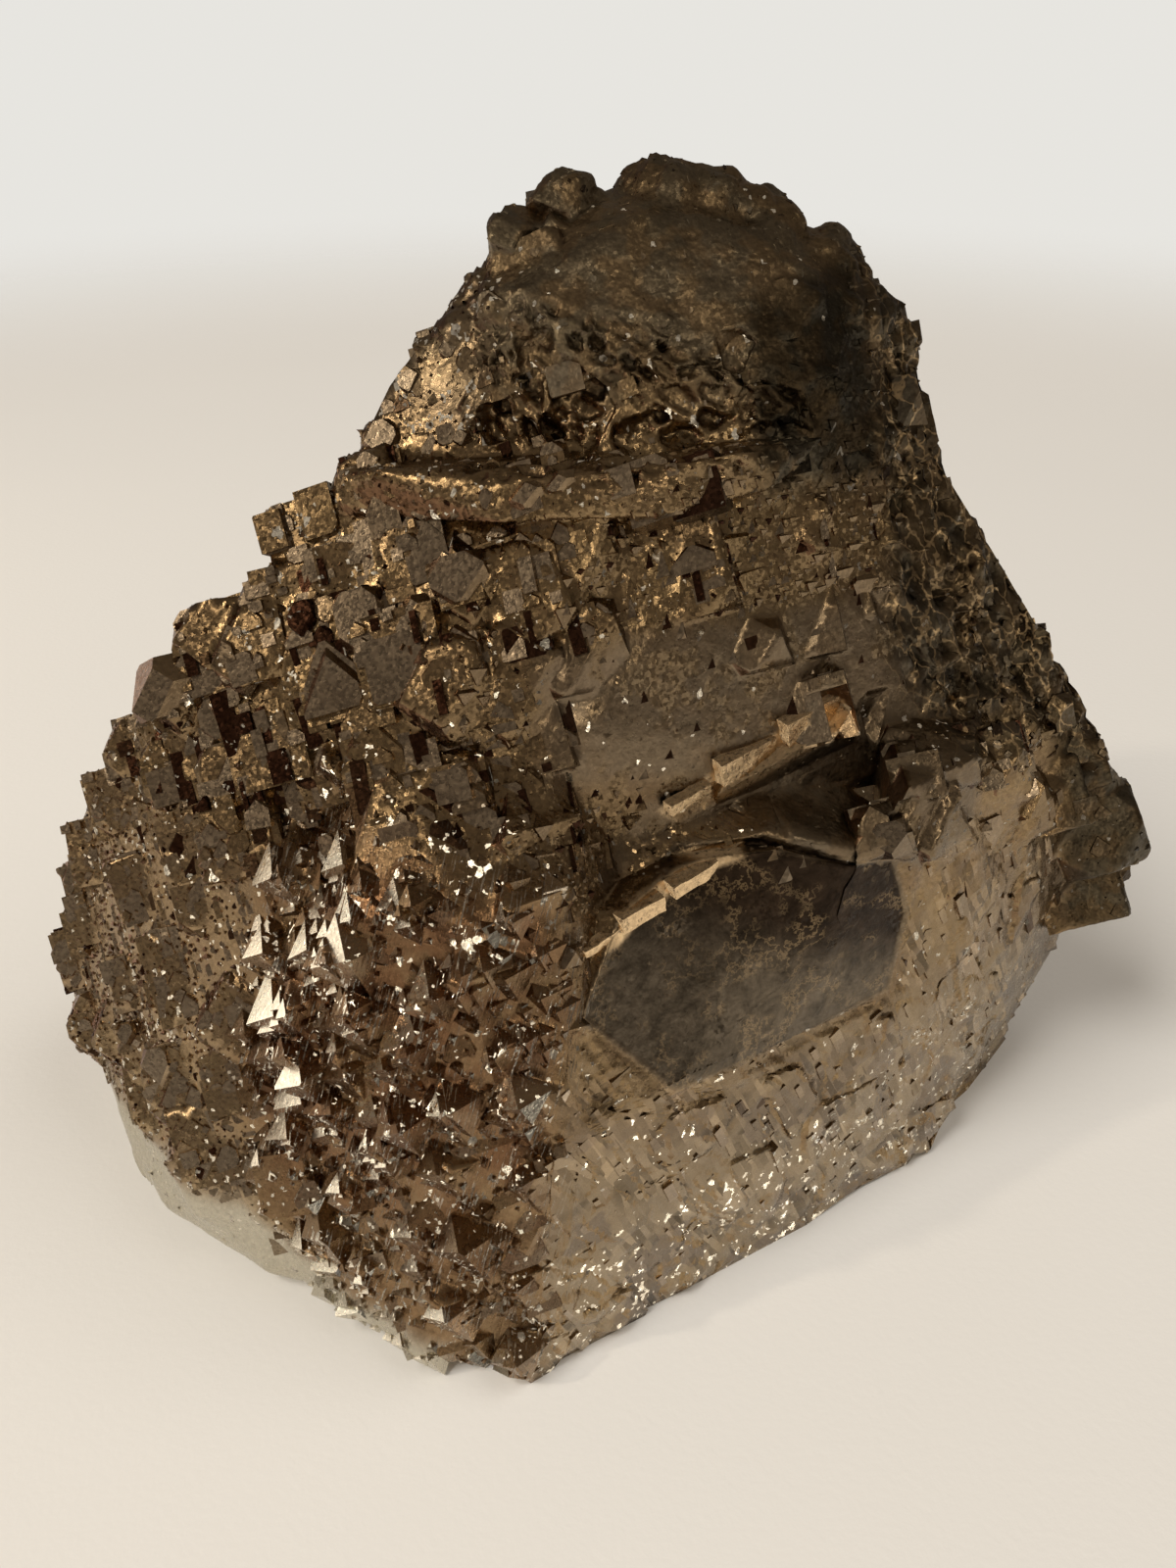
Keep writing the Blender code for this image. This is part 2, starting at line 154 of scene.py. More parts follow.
# The finishes: the name, the width of the shader's facets in mm, and how far they lean.
BODY_FINISH = ("pyrite_body_finish", 0.45, 0.22)
CRYSTAL_FINISH = ("pyrite_crystal_finish", 0.38, 0.18)
# What they read from the mesh.
FINISH_NAMES = (
    "tarnish", "rust", "nose", "octagon", "slope", "gilding", "paleness", "smoothness", "sugar", "glitter",
    "dim", "hollow", "grain")

# A crystal's grain, a number of its own from 0 to 1, tints it: those with a low one are dark red.
RED = (0, 0.08)
ANY_GRAIN = (0, 1)
# The pieces that grow, each from the seed of its place in this list, and the regions they cover.
PIECES = {
    "step_blocks": ("steps", "terrace", "shelf", "band"),
    "nose_pyramids": ("nose",),
    "wall_plates": ("wall", "tip", "polished_foot"),
    "crown_grains": ("crown", "crown_plane", "pits", "dark_column", "crown_side"),
    "slope_ridges": ("right_slope",),
    "flank_druse": ("flank",),
    "back_blocks": ("back",),
}
# What grows in each region, coarse ones first: habits, half-size, spacing and how far they stand proud in
# mm, the share of their places that is taken, and the grain if it isn't any.
GROWTH = {
    "steps": (
        ("scale slab", (2, 3.8), 4.2, (0.3, 0.8), 0.8),
        ("riser", (2.2, 3.8), 6.5, (0.3, 0.7), 0.75, RED),
        ("scale slab tip", (1, 1.9), 2.2, (0.25, 0.65), 0.85),
        ("riser", (1, 1.8), 4, (0.2, 0.6), 0.5, RED),
        ("block tip", (0.5, 0.9), 1.4, (0.1, 0.3), 0.7),
        ("tip", (0.3, 0.5), 0.95, (0.08, 0.2), 0.5)),
    "terrace": (
        ("slab", (2, 4), 4, (0.05, 0.3), 0.7),
        ("riser", (1.6, 3.2), 7, (0.2, 0.7), 0.6, RED),
        ("scale", (1.2, 2.4), 4.4, (0.2, 0.6), 0.5),
        ("block", (0.4, 0.8), 2, (0.08, 0.2), 0.3)),
    "shelf": (
        ("slab", (1.6, 3.6), 3.4, (0.04, 0.2), 0.7),
        ("slab tip", (0.4, 0.9), 1.6, (0.04, 0.15), 0.4)),
    "band": (
        ("scale cut_block", (1, 2.2), 2.2, (0.2, 0.5), 0.9),
        ("tip", (0.3, 0.6), 1, (0.1, 0.25), 0.8)),
    "nose": (
        ("tip", (2.2, 3.4), 4, (0.9, 1.7), 0.8),
        ("scale slab", (1.6, 3), 4, (0.4, 0.9), 0.8),
        ("tip", (1.1, 1.8), 2.2, (0.4, 1), 0.75),
        ("tip", (0.5, 0.9), 1.5, (0.2, 0.6), 0.5)),
    "wall": (
        ("plate", (3, 6.5), 5.2, (0.04, 0.22), 0.9),
        ("plate", (1, 2.4), 3.6, (0.03, 0.1), 0.25),
        ("bar", (2.2, 4.2), 5.5, (0.25, 0.55), 0.5),
        ("bar", (1.2, 2.8), 2.2, (0.12, 0.32), 0.7)),
    "tip": (
        ("slab scale", (1.2, 2.4), 2.2, (0.08, 0.3), 0.8),
        ("bar", (0.7, 1.6), 1.5, (0.06, 0.18), 0.6)),
    "polished_foot": (("plate tip", (0.4, 1), 2.6, (0.05, 0.2), 0.3),),
    "crown": (
        ("cut_block", (0.7, 1.3), 2.4, (0.06, 0.2), 0.5),
        ("cut_block tip", (0.35, 0.7), 1.2, (0.06, 0.2), 0.7)),
    "crown_plane": (("slab cut_block", (0.4, 1.2), 2, (0.04, 0.12), 0.5),),
    "pits": (("block tip", (0.3, 0.5), 1.2, (0.08, 0.2), 0.2),),
    "dark_column": (("cut_block tip", (0.4, 1), 1.3, (0.1, 0.35), 0.8),),
    "crown_side": (
        ("cut_block scale", (1, 1.9), 2.4, (0.2, 0.5), 0.7),
        ("tip", (0.35, 0.7), 1, (0.1, 0.3), 0.8)),
    "right_slope": (
        ("cut_block scale", (1.3, 2.4), 3.4, (0.1, 0.4), 0.6),
        ("tip cut_block", (0.4, 0.9), 1.5, (0.1, 0.35), 0.7)),
    "flank": (
        ("scale slab", (1, 1.9), 2.2, (0.15, 0.45), 0.9),
        ("tip cut_block", (0.6, 1.1), 1.5, (0.12, 0.4), 0.9),
        ("tip", (0.35, 0.55), 0.95, (0.12, 0.3), 0.8)),
    "back": (
        ("block cut_block", (2.2, 4.2), 5.4, (0.4, 1.2), 0.9),
        ("cut_block slab", (1.1, 2), 2.9, (0.2, 0.7), 0.9),
        ("block", (0.5, 0.9), 1.8, (0.12, 0.35), 0.7)),
}
# Pieces whose crystals are turned about the vertical away from the shared lattice.
PIECE_TURNS = {"nose_pyramids": math.radians(13), "flank_druse": math.radians(6)}
# Golden ledges along one line: the middle, half-length, half-height and half-thickness of each, in mm.
LEDGE_LINE = Vector((0.8, 0.57, 0.19))
LEDGE_WEAR_PITCH = 1.5 * MM
LEDGE_WEAR = 0.22 * MM
LEDGE_SEED = 1
GILT_LEDGES = (
    ((-1, -32.2, 55.3), 2.4, 0.5, 0.7),
    ((3.6, -29.2, 57.2), 3, 1, 0.9),
    ((9.6, -25.4, 59.2), 3.2, 0.9, 0.9),
    ((15.2, -20.6, 60.6), 2.2, 0.6, 0.8),
    ((19.4, -17, 61.6), 1.4, 1, 1.2),
    ((9.2, -19.6, 66.4), 3, 0.6, 0.8),
    ((16, -15.6, 69), 4, 1.5, 1),
    ((24, -11.4, 72.2), 4.4, 1.6, 1),
)
# Regions that take what the others leave, in this order.
LAST_REGIONS = ("shelf", "band", "terrace", "right_slope", "tip", "wall", "nose", "polished_foot", "flank")
# Regions whose large crystals keep away from the border.
BORDERED = ("nose", "wall", "tip", "shelf", "terrace")
# Crystals that reach out this many times as far as their layer stands proud would hang over an edge.
OVERHANG = 1.7
DARTS_PER_GAP = 5
FINEST_GAP = 0.95
# Where the crown starts, and how far from the eight-sided face's outline its rim reaches, in mm.
CROWN_FOOT = 112
RIM = 3
# How far one round of smoothing moves a vertex to the middle of its neighbours.
SMOOTHING = 0.6
# The random number above which a cell of the finish is a glint, painted near white as a highlight.
RARE = 0.9985
# The stage, in metres.
FLOOR_RADIUS = 0.75
EYE = Vector((-0.00228, -0.154695, 0.152505))
TARGET = Vector((-0.00228, 0.001345, 0.055))
LIT_SPOT = Vector((0, 0, 0.05))
SUN_COLOUR = (1, 0.975, 0.93)
LAMP_COLOUR = (1, 0.88, 0.7)


def props():
    return bpy.context.scene.pyrite


# Regions


def depth_inside(points, outline):
    """Signed distance in mm of points (x, z) from an outline's edge, above zero inside it."""
    corners = np.array(outline, float)
    sides = np.roll(corners, -1, axis=0) - corners
    inside = np.zeros(len(points), bool)
    nearest = np.full(len(points), np.inf)
    for corner, side in zip(corners, sides):
        x, z = (points - corner).T
        crosses = (z < 0) != (z < side[1])
        inside ^= crosses & (x < side[0] * z / (side[1] or 1))
        along = np.clip((x * side[0] + z * side[1]) / side.dot(side), 0, 1)
        nearest = np.minimum(nearest, np.hypot(x - along * side[0], z - along * side[1]))
    return np.where(inside, nearest, -nearest)


def region_depths(points):
    """For points in mm: how deep each lies in every outline."""
    elevation = points[:, [0, 2]]
    depths = {name: depth_inside(elevation, outline) for name, outline in OUTLINES.items()}
    behind = points[:, 1] - FOOT_REACH - 3 * np.sin(points[:, 0] / 4)
    depths["polished_foot"] = np.minimum(depths["polished_foot"], -behind)
    return depths


def faces_front(normals):
    return normals @ np.array(FRONT)


def regions_of(points, normals):
    """The name of the region that each point of the surface belongs to: the first whose case holds."""
    depths = region_depths(points)
    z = points[:, 2]
    cases = {
        "underside": (z < 1.2) | (normals[:, 2] < -0.7),
        "back": (normals[:, 1] > 0.35) & (z < CROWN_FOOT),
    }
    for name, least in (("octagon", 0.4), ("lower_strip", 0.2), ("upper_strip", 0.2)):
        cases[name] = (depths[name] > 0) & (faces_front(normals) > least)
    for name, most in (("crown_plane", 0), ("crown_side", 0.3), ("dark_column", 0)):
        cases[name] = (depths[name] > 0) & (normals[:, 1] < most)
    cases["pits"] = depths["pits"] > 0
    cases["crown"] = z > CROWN_FOOT
    for name in LAST_REGIONS:
        cases[name] = depths[name] > 0
    return np.select(list(cases.values()), list(cases), "steps")


def soft(value, low, high):
    """0 below low, 1 above high, smooth between them."""
    share = np.clip((value - low) / (high - low), 0, 1)
    return share * share * (3 - 2 * share)


def finish_map(points, normals):
    """How the finish varies over the surface, each from 0 to 1."""
    d = region_depths(points)
    x, y, z = points.T
    front = soft(faces_front(normals), 0.2, 0.5)
    outermost = soft(points @ np.array(WALL_FACING), WALL_PLANE - 4, WALL_PLANE - 2)
    octagon = soft(d["octagon"], -0.5, 0.5) * np.maximum(front, outermost)
    # On the eight-sided face, tarnish only makes the face darker toward its top right.
    octagon_top = soft(z + 0.45 * x, 48, 70)
    slope = soft(d["right_slope"], -2, 4)
    crown = soft(z, 100, 113)
    tarnish = np.maximum.reduce([
        0.8 * crown, 0.75 * slope, octagon * (0.55 + 0.45 * octagon_top), soft(d["dark_column"], -2, 3),
        0.25 * soft(d["terrace"], -3, 3), 0.9 * soft(d["tip"], -2, 3), 0.5 * soft(d["block_front"], -1, 1)])
    nose = soft(d["nose"], -4, 4)
    looks = np.tile(REGION_LOOKS["steps"], (len(points), 1))
    for name, look in REGION_LOOKS.items():
        if name in d:
            share = soft(d[name], -1.5, 1.5)[:, None]
            looks = looks * (1 - share) + np.array(look) * share
    return {
        "tarnish": tarnish * (1 - 0.6 * soft(d["crown_side"], -2, 2)),
        "rust": np.maximum(nose * (0.5 + 0.5 * soft(z, 6, 34)),
                           0.35 * soft(-x, -25, 20) * soft(z, 20, 50) * (1 - crown)),
        "nose": nose,
        "octagon": octagon,
        "slope": slope,
        "gilding": front * np.maximum(
            0.8 * soft(d["upper_strip"], 0.5, 1.3), soft(d["lower_strip"], 0.5, 1.2)),
        "paleness": np.maximum(soft(d["wall"], -2, 3) * (1 - octagon) * soft(-z, -66, -5),
                               soft(d["polished_foot"], -4, 3)),
        "smoothness": np.maximum.reduce([
            octagon, soft(d["terrace"], -1, 3), soft(d["block_front"], -1, 1),
            soft(d["polished_foot"], -2, 2), 0.3 * soft(d["crown_plane"], -1, 2),
            0.8 * soft(d["shelf"], -1, 1), 0.6 * soft(d["crown_side"], -1, 2),
            0.4 * soft(d["flank"], -2, 2)]),
        **dict(zip(("sugar", "glitter", "dim"), looks.T)),
    }


# Mesh helpers


def read_vectors(items, field):
    values = np.empty(len(items) * 3)
    items.foreach_get(field, values)
    return values.reshape(-1, 3)


def mesh_from(bm, name):
    mesh = bpy.data.meshes.new(name)
    bm.to_mesh(mesh)
    bm.free()
    return mesh


def add_object(name, data):
    made = bpy.data.objects.new(name, data)
    bpy.context.scene.collection.objects.link(made)
    return made


def set_attributes(mesh, values):
    for name, numbers in values.items():
        layer = mesh.attributes.new(name, "FLOAT", "POINT")
        layer.data.foreach_set("value", np.ascontiguousarray(numbers, np.float32))


def place_piece(name, mesh, finish):
    """Adds a finished mesh as a piece of the specimen."""
    piece = add_object(name, mesh)
    mesh.materials.append(bpy.data.materials.get(finish[0]) or pyrite_finish(*finish))
    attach(piece, BODY)
    return piece


def habit_faces(habit):
    """Each face's direction in the lattice, how far out it stands, and how uneven that is."""
    if habit == "bar":
        distances, uneven = BAR_FACES, BAR_UNEVEN
    else:
        cube, along_third, corner, along_wall, uneven = HABITS[habit]
        distances = {face: along_third if face[2] else cube for face in CUBE_FACES}
        distances |= {face: along_wall if abs(sum(face)) == 3 else corner for face in CORNER_FACES}
        distances |= CUTS.get(habit, {})
    return [(Vector(face).normalized(), distance, uneven) for face, distance in distances.items()]


def habit_shape(habit, rng):
    """A crystal of half-size 1 as corner points and faces."""
    shape = bmesh.new()
    bmesh.ops.create_cube(shape, size=6)
    for outward, distance, uneven in habit_faces(habit):
        distance *= 1 + rng.uniform(-uneven, uneven)
        everything = shape.verts[:] + shape.edges[:] + shape.faces[:]
        bmesh.ops.bisect_plane(
            shape, geom=everything, plane_co=outward * distance, plane_no=outward, clear_outer=True)
        bmesh.ops.holes_fill(shape, edges=[e for e in shape.edges if e.is_boundary])
    bmesh.ops.dissolve_degenerate(shape, dist=1e-3, edges=shape.edges)
    bmesh.ops.recalc_face_normals(shape, faces=shape.faces)
    shape.verts.index_update()
    corners = np.array([v.co for v in shape.verts])
    faces = [[v.index for v in face.verts] for face in shape.faces]
    shape.free()
    return corners, faces


def surface_darts(mesh, tries, rng):
    """Random points in mm and outward normals on a triangle mesh, spread evenly by area."""
    mesh.calc_loop_triangles()
    corners = read_vectors(mesh.vertices, "co")
    triangles = read_vectors(mesh.loop_triangles, "vertices").astype(int)
    a, b, c = corners[triangles].transpose(1, 0, 2)
    cross = np.cross(b - a, c - a)
    area = np.linalg.norm(cross, axis=1)
    picks = rng.choice(len(area), tries, p=area / area.sum())
    u, v = rng.random((2, tries, 1))
    u, v = np.where(u + v > 1, (1 - u, 1 - v), (u, v))
    points = a[picks] + u * (b - a)[picks] + v * (c - a)[picks]
    normals = cross[picks] / np.maximum(area[picks, None], 1e-12)
    return points / MM, normals


def spaced(points, gap):
    """Indices of the points that keep a gap from all those chosen before them."""
    taken = {}
    chosen = []
    cells = np.floor(points / gap).astype(int)
    around = list(itertools.product((-1, 0, 1), repeat=3))
    for index, (cell, point) in enumerate(zip(map(tuple, cells.tolist()), points.tolist())):
        i, j, k = cell
        near = (other for di, dj, dk in around for other in taken.get((i + di, j + dj, k + dk), ()))
        if all(math.dist(point, other) >= gap for other in near):
            taken.setdefault(cell, []).append(point)
            chosen.append(index)
    return np.array(chosen, int)


def small_turns(count, tilt, rng):
    """Rotation matrices of small random tilts."""
    x, y, z = rng.normal(0, tilt, (3, count))
    turns = np.tile(np.eye(3), (count, 1, 1))
    turns[:, 0, 1], turns[:, 0, 2], turns[:, 1, 2] = -z, y, -x
    turns[:, 1, 0], turns[:, 2, 0], turns[:, 2, 1] = z, -y, x
    q, r = np.linalg.qr(turns)
    signs = np.sign(np.einsum("nii->ni", r))
    return q * signs[:, None, :]


def outer_reach(corners, tree):
    """How far the outermost corner of each crystal stands outside the frame's surface, in mm."""

    def height(corner):
        place, normal, _, distance = tree.find_nearest(Vector(corner))
        return distance if (Vector(corner) - place).dot(normal) > 0 else -1e9

    return np.array([max(map(height, crystal)) for crystal in corners])


def seated_crystals(anchors, shapes, sizes, lifts, rng, tree, turn):
    """The corners, the faces and the anchors of one layer's crystals, seated on the surface."""
    (small, large), (low, high) = sizes, lifts
    points, normals = anchors[:, :3], anchors[:, 3:6]
    count = len(points)
    half = small + (large - small) * rng.random(count) ** 1.6
    swell = np.array([0.5 + 0.5 * noise.noise(Vector(p) / props().hillock) for p in points])
    proud = low + (high - low) * (0.5 * swell + 0.5 * rng.random(count))
    stretch = rng.uniform(0.8, 1.25, (count, 3))
    lattice = Matrix.Rotation(turn, 3, "Z") @ LATTICE
    turns = small_turns(count, props().mosaic_tilt, rng) @ np.array(lattice)
    kinds = rng.integers(0, len(shapes), count)
    for kind in np.unique(kinds):
        members = np.flatnonzero(kinds == kind)
        corners, faces = shapes[kind]
        scaled = corners[None] * half[members, None, None] * stretch[members, None, :]
        turned = np.einsum("nij,nkj->nki", turns[members], scaled)
        reach = np.einsum("nki,ni->nk", turned, normals[members]).max(axis=1)
        seats = points[members] - normals[members] * (reach - proud[members])[:, None]
        placed = turned + seats[:, None]
        outer = outer_reach(placed, tree)
        excess = np.maximum(outer - proud[members] * 1.1, 0)
        over = depth_inside(placed[:, :, [0, 2]].reshape(-1, 2), OUTLINES["octagon"])
        clear = (over.reshape(len(placed), -1).max(axis=1) < 0) | (normals[members, 1] > 0)
        kept = (outer < high * OVERHANG) & clear
        placed = (placed - (normals[members] * excess[:, None])[:, None])[kept]
        placed[:, :, 2] = np.maximum(placed[:, :, 2], 0.02)
        yield placed, faces, anchors[members[kept]]


def crystal_mesh(name, batches):
    """One mesh of many crystals. Each batch has their corners, faces and anchors: point, normal, grain."""
    rows, polygons, anchors = [], [], []
    total = 0
    for corners, faces, anchor in batches:
        count, per = corners.shape[:2]
        rows.append(corners.reshape(-1, 3) * MM)
        anchors.append(np.repeat(anchor, per, axis=0))
        for first in range(total, total + count * per, per):
            polygons.extend([first + corner for corner in face] for face in faces)
        total += count * per
    mesh = bpy.data.meshes.new(name)
    mesh.from_pydata(np.concatenate(rows), [], polygons)
    mesh.validate()
    anchor = np.concatenate(anchors)
    set_attributes(mesh, {**finish_map(anchor[:, :3], anchor[:, 3:6]), "grain": anchor[:, 6]})
    return mesh


@functools.cache
def sampled_surface():
    """Points spread over the body, their normals and regions, and a tree of its faces, in mm."""
    surface = bpy.data.objects["pyrite_body"].data
    tries = int(props().surface_area / FINEST_GAP ** 2 * DARTS_PER_GAP)
    points, normals = surface_darts(surface, tries, np.random.default_rng(5))
    corners = [Vector(v.co) / MM for v in surface.vertices]
    faces = [tuple(face.vertices) for face in surface.polygons]
    return points, normals, regions_of(points, normals), BVHTree.FromPolygons(corners, faces)


def grow_piece(name, seed):
    """Grows all the crystals of one piece on the body's surface."""
    rng = np.random.default_rng(seed)
    kinds = (*HABITS, "bar")
    shapes = {habit: [habit_shape(habit, rng) for _ in range(SHAPES_PER_HABIT)] for habit in kinds}
    points, normals, regions, tree = sampled_surface()
    batches = []
    for region in PIECES[name]:
        here = np.flatnonzero(regions == region)
        for habits, sizes, gap, lifts, share, *grains in GROWTH[region]:
            some = here[rng.random(len(here)) < (FINEST_GAP / gap) ** 2]
            if region in BORDERED:
                inside = depth_inside(points[some][:, [0, 2]], OUTLINES[region])
                some = some[inside > gap * 0.45]
            rng.shuffle(some)
            chosen = some[spaced(points[some], gap)]
            chosen = chosen[rng.random(len(chosen)) < share]
            low, high = grains[0] if grains else ANY_GRAIN
            grain = rng.uniform(low, high, len(chosen))
            anchors = np.column_stack([points[chosen], normals[chosen], grain])
            those = [shape for habit in habits.split() for shape in shapes[habit]]
            turn = PIECE_TURNS.get(name, 0)
            batches += seated_crystals(anchors, those, sizes, lifts, rng, tree, turn)
    return crystal_mesh(name, batches)


# The body

# Pits under the crown, low ones and high ones: their pitch and depth in mm.
LOW_PITS = (3.4, 1.9)
HIGH_PITS = (2.3, 1.2)
LOW_PITS_TOP = 109
# Pits of the right slope.
SLOPE_PITS = (2.9, 0.9)
# The wall's growth steps, and the scallops at its foot, in mm.
STEP_SWELL = 7
STEP_HEIGHT = 0.34
SCALLOP = 1.2
WALL_END = 56
# Knobs of the crown, large and small: their pitch and height in mm.
KNOBS = ((4.8, 1.15), (2.1, 0.35))


def honeycomb(point, scale):
    """0 on the ridges between angular cells and 1 inside them, and a random number of the cell's own."""
    distances, seeds = noise.voronoi(point / scale)
    return soft(distances[1] - distances[0], 0.06, 0.36), abs(noise.cell(seeds[0] * 7.3)) % 1


def relief(point, depths):
    """How far the body's surface moves outwards at a point, in mm, and how hollow it is there."""
    spot = Vector(point)
    lift = 0.05 * noise.noise(spot / 1.3) + 0.03 * noise.noise(spot / 0.6)
    hollow = 0
    pits, slope, crown = depths["pits"], depths["right_slope"], depths["crown"]
    if pits > 0:
        pitch, depth = LOW_PITS if point[2] < LOW_PITS_TOP else HIGH_PITS
        across, down = 0.84 * spot.x - 0.54 * spot.z, 0.54 * spot.x + 0.84 * spot.z
        inside, own = honeycomb(Vector((across * 0.85, spot.y, down * 1.3)), pitch)
        hollow = min(pits / 2, 1) * inside * (0.35 + 0.65 * own)
        lift -= hollow * depth
    elif slope > 0:
        along, across = 0.54 * spot.x - 0.84 * spot.z, 0.84 * spot.x + 0.54 * spot.z
        inside, own = honeycomb(Vector((across, spot.y, along * 0.6)), SLOPE_PITS[0])
        hollow = min(slope / 3, 1) * inside * (0.4 + 0.6 * own)
        lift -= SLOPE_PITS[1] * hollow
    if depths["wall"] > 1 > depths["octagon"] and point[0] < WALL_END:
        swell = noise.noise(Vector((spot.x + 0.6 * spot.z, spot.y, spot.z * 0.5)) / STEP_SWELL) * 3.2
        step = swell - math.floor(swell)
        lift += STEP_HEIGHT * (math.floor(swell) + soft(step, 0.75, 1.0))
        lift += SCALLOP * soft(18 - spot.z, 0, 12) * abs(noise.noise(spot / 4.5))
    if crown > -4:
        share = min((crown + 4) / 6, 1) * (0.25 if depths["crown_plane"] > 0 else 1)
        lift -= share * 0.5
        for pitch, height in KNOBS:
            nearest = noise.voronoi(spot / pitch)[0][0]
            lift += share * height * max(0, 1 - (nearest / 0.65) ** 2)
    return lift, hollow


def level_octagon(points, depths):
    """Fills the corner of the eight-sided face that lies behind the wall."""
    wall = np.array(WALL_FACING)
    behind = WALL_PLANE - 0.8 - points @ wall
    inside = soft(depths["octagon"], -2.5, -0.5) * (behind > -3) * (behind < 12) * soft(points[:, 0], 6, 26)
    return points + (behind * inside)[:, None] * wall


def edge_limit(edge, depths, normals):
    """The longest that an edge of the body may be: short where the body itself shows."""
    start = edge.verts[0]
    usual = props().edge_length

    def near(*names):
        return max(depths[name][start.index] for name in names)

    if max(normals[v.index][1] for v in edge.verts) > 0.4 or start.co.z < 1 * MM:
        return usual * 3.2
    if near("pits", "octagon", "upper_strip", "lower_strip") > -1.5:
        return usual * 0.55
    if near("right_slope", "dark_column", "crown_plane", "band", "wall") > -1:
        return usual * 0.95
    if start.co.z > CROWN_FOOT * MM or near("terrace", "polished_foot") > -1:
        return usual
    return usual * 1.9


def smooth(bm, verts, rounds):
    for _ in range(rounds):
        bmesh.ops.smooth_vert(
            bm, verts=verts, factor=SMOOTHING, use_axis_x=True, use_axis_y=True, use_axis_z=True)


def corners_of(bm):
    """The places of all its vertices, in mm."""
    return np.array([v.co for v in bm.verts]) / MM


def body_mesh():
    """The frame's shape with its long edges divided, its crown rounded and a fine relief."""
    bm = bmesh.new()
    bm.from_mesh(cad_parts[NODE].data)
    bmesh.ops.remove_doubles(bm, verts=bm.verts, dist=1e-6)
    for _ in range(6):
        bm.verts.index_update()
        bm.normal_update()
        normals = [v.normal for v in bm.verts]
        depths = region_depths(corners_of(bm))
        long_edges = [edge for edge in bm.edges if edge.calc_length() > edge_limit(edge, depths, normals)]
        if not long_edges:
            break
        bmesh.ops.subdivide_edges(bm, edges=long_edges, cuts=1)
        bmesh.ops.triangulate(bm, faces=[f for f in bm.faces if len(f.verts) > 3])
    depths = region_depths(corners_of(bm))
    for rounds, where in (
        (16, lambda i, v: v.co.z > CROWN_FOOT * MM and depths["crown_plane"][i] < 1),
        (24, lambda i, v: v.co.z > CROWN_FOOT * MM and v.co.x < -8 * MM and depths["crown_plane"][i] < 1),
        (2, lambda i, v: depths["tip"][i] > -1),
        (5, lambda i, v: depths["band"][i] > -2 and v.normal.y < 0.3),
        (45, lambda i, v: depths["polished_foot"][i] > -2 and v.normal.y < 0.5),
        (24, lambda i, v: depths["wall"][i] > 2 and depths["octagon"][i] < -2 and v.co.z > 2 * MM
         and v.co.x < WALL_END * MM and v.normal.y < -0.3),
    ):
        smooth(bm, [v for i, v in enumerate(bm.verts) if where(i, v)], rounds)
    for vert, place in zip(bm.verts, level_octagon(corners_of(bm), depths)):
        vert.co = Vector(place) * MM
    rim = [v for i, v in enumerate(bm.verts) if abs(depths["octagon"][i]) < RIM and v.normal.y < 0]
    smooth(bm, [v for v in rim if v.co.x > 20 * MM], 6)
    bm.normal_update()
    mesh = mesh_from(bm, "pyrite_body")
    points = read_vectors(mesh.vertices, "co") / MM
    normals = read_vectors(mesh.vertices, "normal")
    depths = region_depths(points)
    shaped = np.array([relief(p, {name: d[i] for name, d in depths.items()}) for i, p in enumerate(points)])
    lift, hollow = shaped.T * soft(points[:, 2], 0.3, 1.5) * (normals[:, 1] < 0.5)
    points = points + normals * lift[:, None]
    points[:, 2] = np.maximum(points[:, 2], 0)
    mesh.vertices.foreach_set("co", (points * MM).astype(np.float32).reshape(-1))
    mesh.polygons.foreach_set("use_smooth", np.ones(len(mesh.polygons), bool))
    mesh.set_sharp_from_angle(angle=props().sharp_angle)
    mesh.update()
    grain = np.full(len(points), 0.4)
    set_attributes(mesh, {**finish_map(points, normals), "grain": grain, "hollow": hollow})
    return mesh


# Materials


def maths(operation, turned=False):
    """A method of Wire that adds a Math node for itself and another number."""
    def method(self, other):
        first, second = (other, self) if turned else (self, other)
        return self.shader.number("Math", 0, {"operation": operation}, {0: first, 1: second})
    return method


class Wire:
    """A number on a shader's wire: arithmetic on it adds Math nodes."""
    __add__ = __radd__ = maths("ADD")
    __mul__ = __rmul__ = maths("MULTIPLY")
    __sub__ = maths("SUBTRACT")
    __rsub__ = maths("SUBTRACT", turned=True)
    greater = maths("GREATER_THAN")
    largest = maths("MAXIMUM")

    def __init__(self, shader, socket):
        self.shader = shader
        self.socket = socket

    def size(self):
        return self.shader.number("Math", 0, {"operation": "ABSOLUTE"}, {0: self})

    def rise(self, low, high):
        """0 below low, 1 above high, smooth between them."""
        return self.shader.number("MapRange", "Result", {"interpolation_type": "SMOOTHSTEP"}, {
            "Value": self, "From Min": low, "From Max": high})


